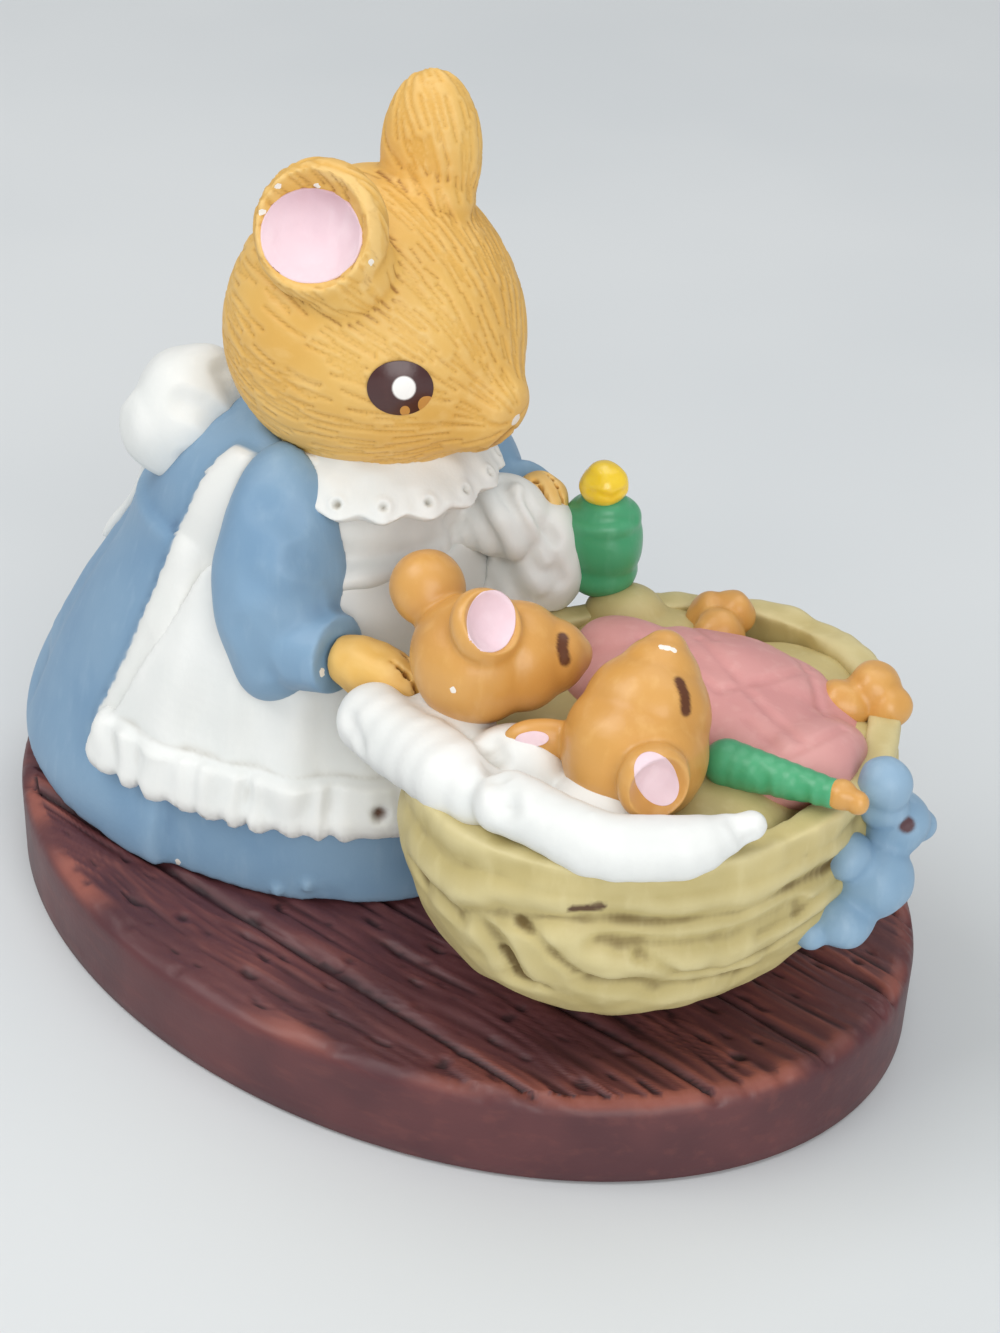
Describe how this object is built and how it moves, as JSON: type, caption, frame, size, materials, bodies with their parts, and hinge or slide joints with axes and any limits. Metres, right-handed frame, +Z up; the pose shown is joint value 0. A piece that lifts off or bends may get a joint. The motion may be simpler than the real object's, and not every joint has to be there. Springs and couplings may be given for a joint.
{
  "type": "figurine",
  "caption": "Painted resin figurine of a mother mouse in a blue dress and white apron leaning over a walnut-shell crib with sleeping baby mice on an oval plank base",
  "frame": {"origin": "middle of the base's flat underside", "axes": "+X from the mother to the crib along the base's long axis, +Z up, -Y the side shown in the picture"},
  "size_m": [0.0773, 0.056, 0.0655],
  "materials": {
    "maroon_base_paint": "satin hand paint with dry-brushed planks",
    "blue_dress_paint": "matt hand paint",
    "white_cloth_paint": "satin hand paint with a faint grey wash",
    "pink_ear_paint": "matt hand paint",
    "dark_eye_paint": "satin hand paint",
    "walnut_shell_paint": "satin hand paint with an olive-brown wash",
    "pink_quilt_paint": "matt hand paint",
    "green_paint": "satin hand paint",
    "yellow_gloss_paint": "gloss hand paint",
    "blue_toy_paint": "satin hand paint",
    "baby_fur_paint": "satin hand paint",
    "mother_fur_paint": "satin hand paint over carved fur"
  },
  "bodies": {
    "root": {"apron_bib": "white_cloth_paint", "apron_corner": "white_cloth_paint", "apron_far_frill": "white_cloth_paint", "apron_frill": "white_cloth_paint", "apron_skirt": "white_cloth_paint", "baby_paw": "baby_fur_paint", "baby_sleeve": "green_paint", "base": "maroon_base_paint", "bedding": "walnut_shell_paint", "bottle": "green_paint", "bottle_top": "yellow_gloss_paint", "bow_knot": "white_cloth_paint", "bow_left_loop": "white_cloth_paint", "bow_right_loop": "white_cloth_paint", "bow_tail": "white_cloth_paint", "crib_shell": "walnut_shell_paint", "dress_bodice": "blue_dress_paint", "dress_skirt": "blue_dress_paint", "dress_train": "blue_dress_paint", "first_baby_far_ear": "baby_fur_paint", "first_baby_far_ear_lining": "pink_ear_paint", "first_baby_foot": "baby_fur_paint", "first_baby_head": "baby_fur_paint", "first_baby_near_ear": "baby_fur_paint", "first_baby_near_ear_lining": "pink_ear_paint", "head": "mother_fur_paint", "lace_collar": "white_cloth_paint", "left_ear": "mother_fur_paint", "left_ear_lining": "pink_ear_paint", "left_eye": "dark_eye_paint", "left_paw": "mother_fur_paint", "left_sleeve": "blue_dress_paint", "pillow": "white_cloth_paint", "quilt": "pink_quilt_paint", "right_ear": "mother_fur_paint", "right_ear_lining": "pink_ear_paint", "right_eye": "dark_eye_paint", "right_paw": "mother_fur_paint", "right_sleeve": "blue_dress_paint", "second_baby_far_ear": "baby_fur_paint", "second_baby_far_ear_lining": "pink_ear_paint", "second_baby_foot": "baby_fur_paint", "second_baby_head": "baby_fur_paint", "second_baby_near_ear": "baby_fur_paint", "second_baby_near_ear_lining": "pink_ear_paint", "sheet_fold": "walnut_shell_paint", "toy_body": "blue_toy_paint", "toy_ear": "blue_toy_paint", "toy_head": "blue_toy_paint", "toy_leg": "blue_toy_paint"}
  },
  "joints": []
}
